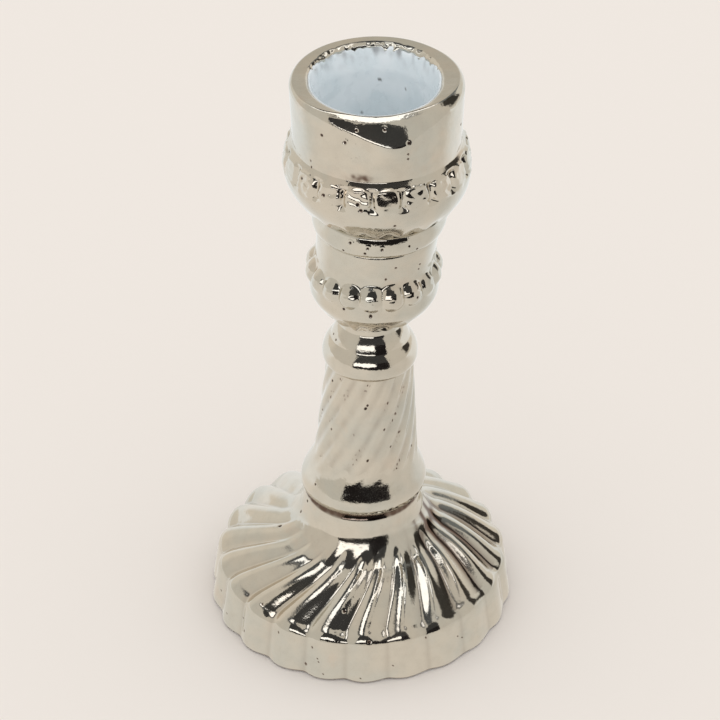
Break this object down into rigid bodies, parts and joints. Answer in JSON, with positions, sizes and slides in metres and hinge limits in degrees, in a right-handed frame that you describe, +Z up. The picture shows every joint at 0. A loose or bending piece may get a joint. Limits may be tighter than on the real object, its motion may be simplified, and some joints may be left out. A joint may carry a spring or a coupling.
{
  "type": "candlestick",
  "caption": "Hand-built ceramic candlestick with a gadrooned foot, spirally fluted stem, beaded knop and beaded candle cup, in silver lustre with a white glazed socket.",
  "frame": {"origin": "centre of the foot on the floor", "axes": "+Z up along the candlestick, -Y towards the side that the picture shows"},
  "size_m": [0.0608, 0.0612, 0.1204],
  "materials": {
    "silver_lustre": "mirror-like silver lustre glaze, slightly mottled",
    "white_glaze": "gloss white glaze"
  },
  "bodies": {
    "root": {"foot": "silver_lustre", "foot_collar": "silver_lustre", "stem_base_ring": "silver_lustre", "stem": "silver_lustre", "stem_top_ring": "silver_lustre", "knop": "silver_lustre", "neck_band": "silver_lustre", "candle_cup": "silver_lustre", "knop_bead_01": "silver_lustre", "knop_bead_02": "silver_lustre", "knop_bead_03": "silver_lustre", "knop_bead_04": "silver_lustre", "knop_bead_05": "silver_lustre", "knop_bead_06": "silver_lustre", "knop_bead_07": "silver_lustre", "knop_bead_08": "silver_lustre", "knop_bead_09": "silver_lustre", "knop_bead_10": "silver_lustre", "knop_bead_11": "silver_lustre", "knop_bead_12": "silver_lustre", "knop_bead_13": "silver_lustre", "knop_bead_14": "silver_lustre", "knop_bead_15": "silver_lustre", "knop_bead_16": "silver_lustre", "knop_bead_17": "silver_lustre", "knop_bead_18": "silver_lustre", "cup_bead_01": "silver_lustre", "cup_bead_02": "silver_lustre", "cup_bead_03": "silver_lustre", "cup_bead_04": "silver_lustre", "cup_bead_05": "silver_lustre", "cup_bead_06": "silver_lustre", "cup_bead_07": "silver_lustre", "cup_bead_08": "silver_lustre", "cup_bead_09": "silver_lustre", "cup_bead_10": "silver_lustre", "cup_bead_11": "silver_lustre", "cup_bead_12": "silver_lustre", "cup_bead_13": "silver_lustre", "cup_bead_14": "silver_lustre", "cup_bead_15": "silver_lustre", "cup_bead_16": "silver_lustre", "cup_bead_17": "silver_lustre", "cup_bead_18": "silver_lustre", "cup_bead_19": "silver_lustre", "socket_lining": "white_glaze"}
  },
  "joints": []
}
